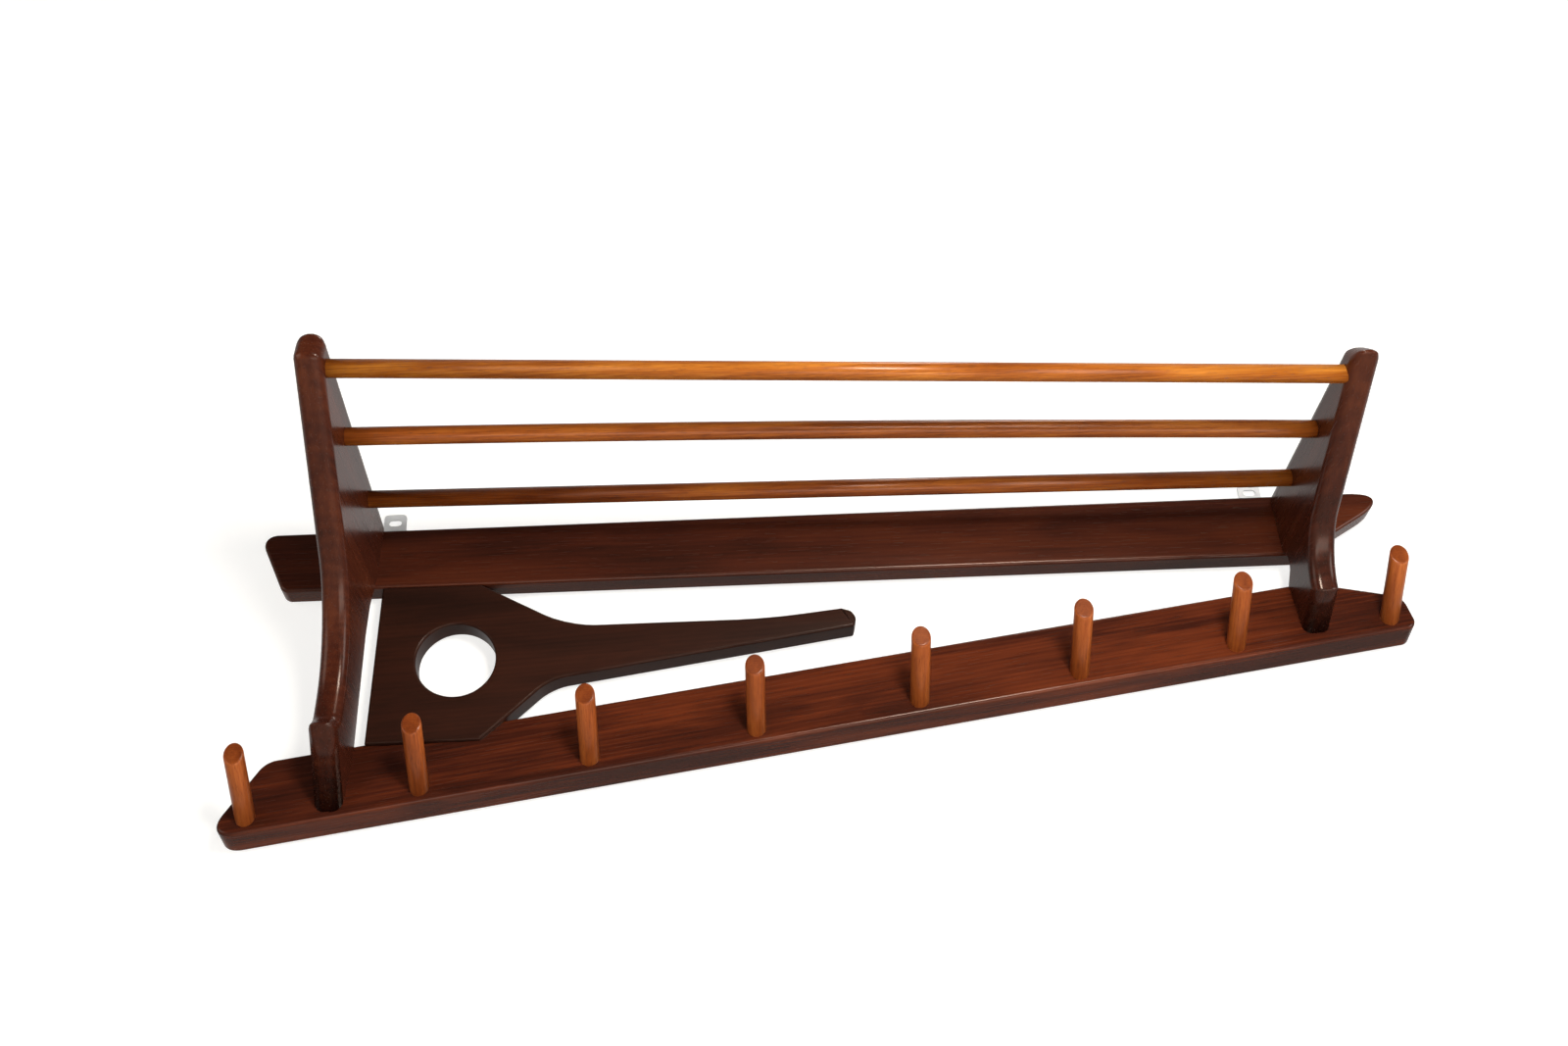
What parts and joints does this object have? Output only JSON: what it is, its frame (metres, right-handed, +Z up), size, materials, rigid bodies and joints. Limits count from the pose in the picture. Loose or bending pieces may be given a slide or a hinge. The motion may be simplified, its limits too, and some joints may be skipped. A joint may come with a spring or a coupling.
{
  "type": "wall coat and hat rack",
  "caption": "Wall rack of dark wood: an upper board and a sloping peg board joined by a holed plate, with two arms that carry rails for hats above a row of slanted coat pegs.",
  "frame": {"origin": "on the wall plane, midway between the centres of the two hanger slots", "axes": "+X along the rack to the right as seen from the front, +Y into the wall, +Z up; the front faces -Y"},
  "size_m": [0.999, 0.2637, 0.3191],
  "materials": {
    "board_wood": "dark red-brown, satin lacquer",
    "bracket_wood": "dark red-brown, satin lacquer",
    "plate_wood": "darker brown, satin lacquer",
    "rail_wood": "golden orange-brown, satin lacquer",
    "peg_wood": "orange-brown, satin lacquer",
    "dowel_wood": "bare pale wood",
    "hanger_steel": "zinc-plated",
    "small_screw_steel": "zinc-plated",
    "screw_brass": "plain"
  },
  "bodies": {
    "root": {"upper_board": "board_wood", "peg_board": "board_wood", "link_plate": "plate_wood", "left_bracket": "bracket_wood", "right_bracket": "bracket_wood", "rail_outer": "rail_wood", "rail_middle": "rail_wood", "rail_inner": "rail_wood", "peg_1": "peg_wood", "peg_2": "peg_wood", "peg_3": "peg_wood", "peg_4": "peg_wood", "peg_5": "peg_wood", "peg_6": "peg_wood", "peg_7": "peg_wood", "peg_8": "peg_wood", "left_hanger": "hanger_steel", "right_hanger": "hanger_steel", "left_hanger_screws": "small_screw_steel", "right_hanger_screws": "small_screw_steel", "left_bracket_screws": "screw_brass", "right_bracket_screws": "screw_brass", "upper_dowels": "dowel_wood", "lower_dowels": "dowel_wood"}
  },
  "joints": []
}
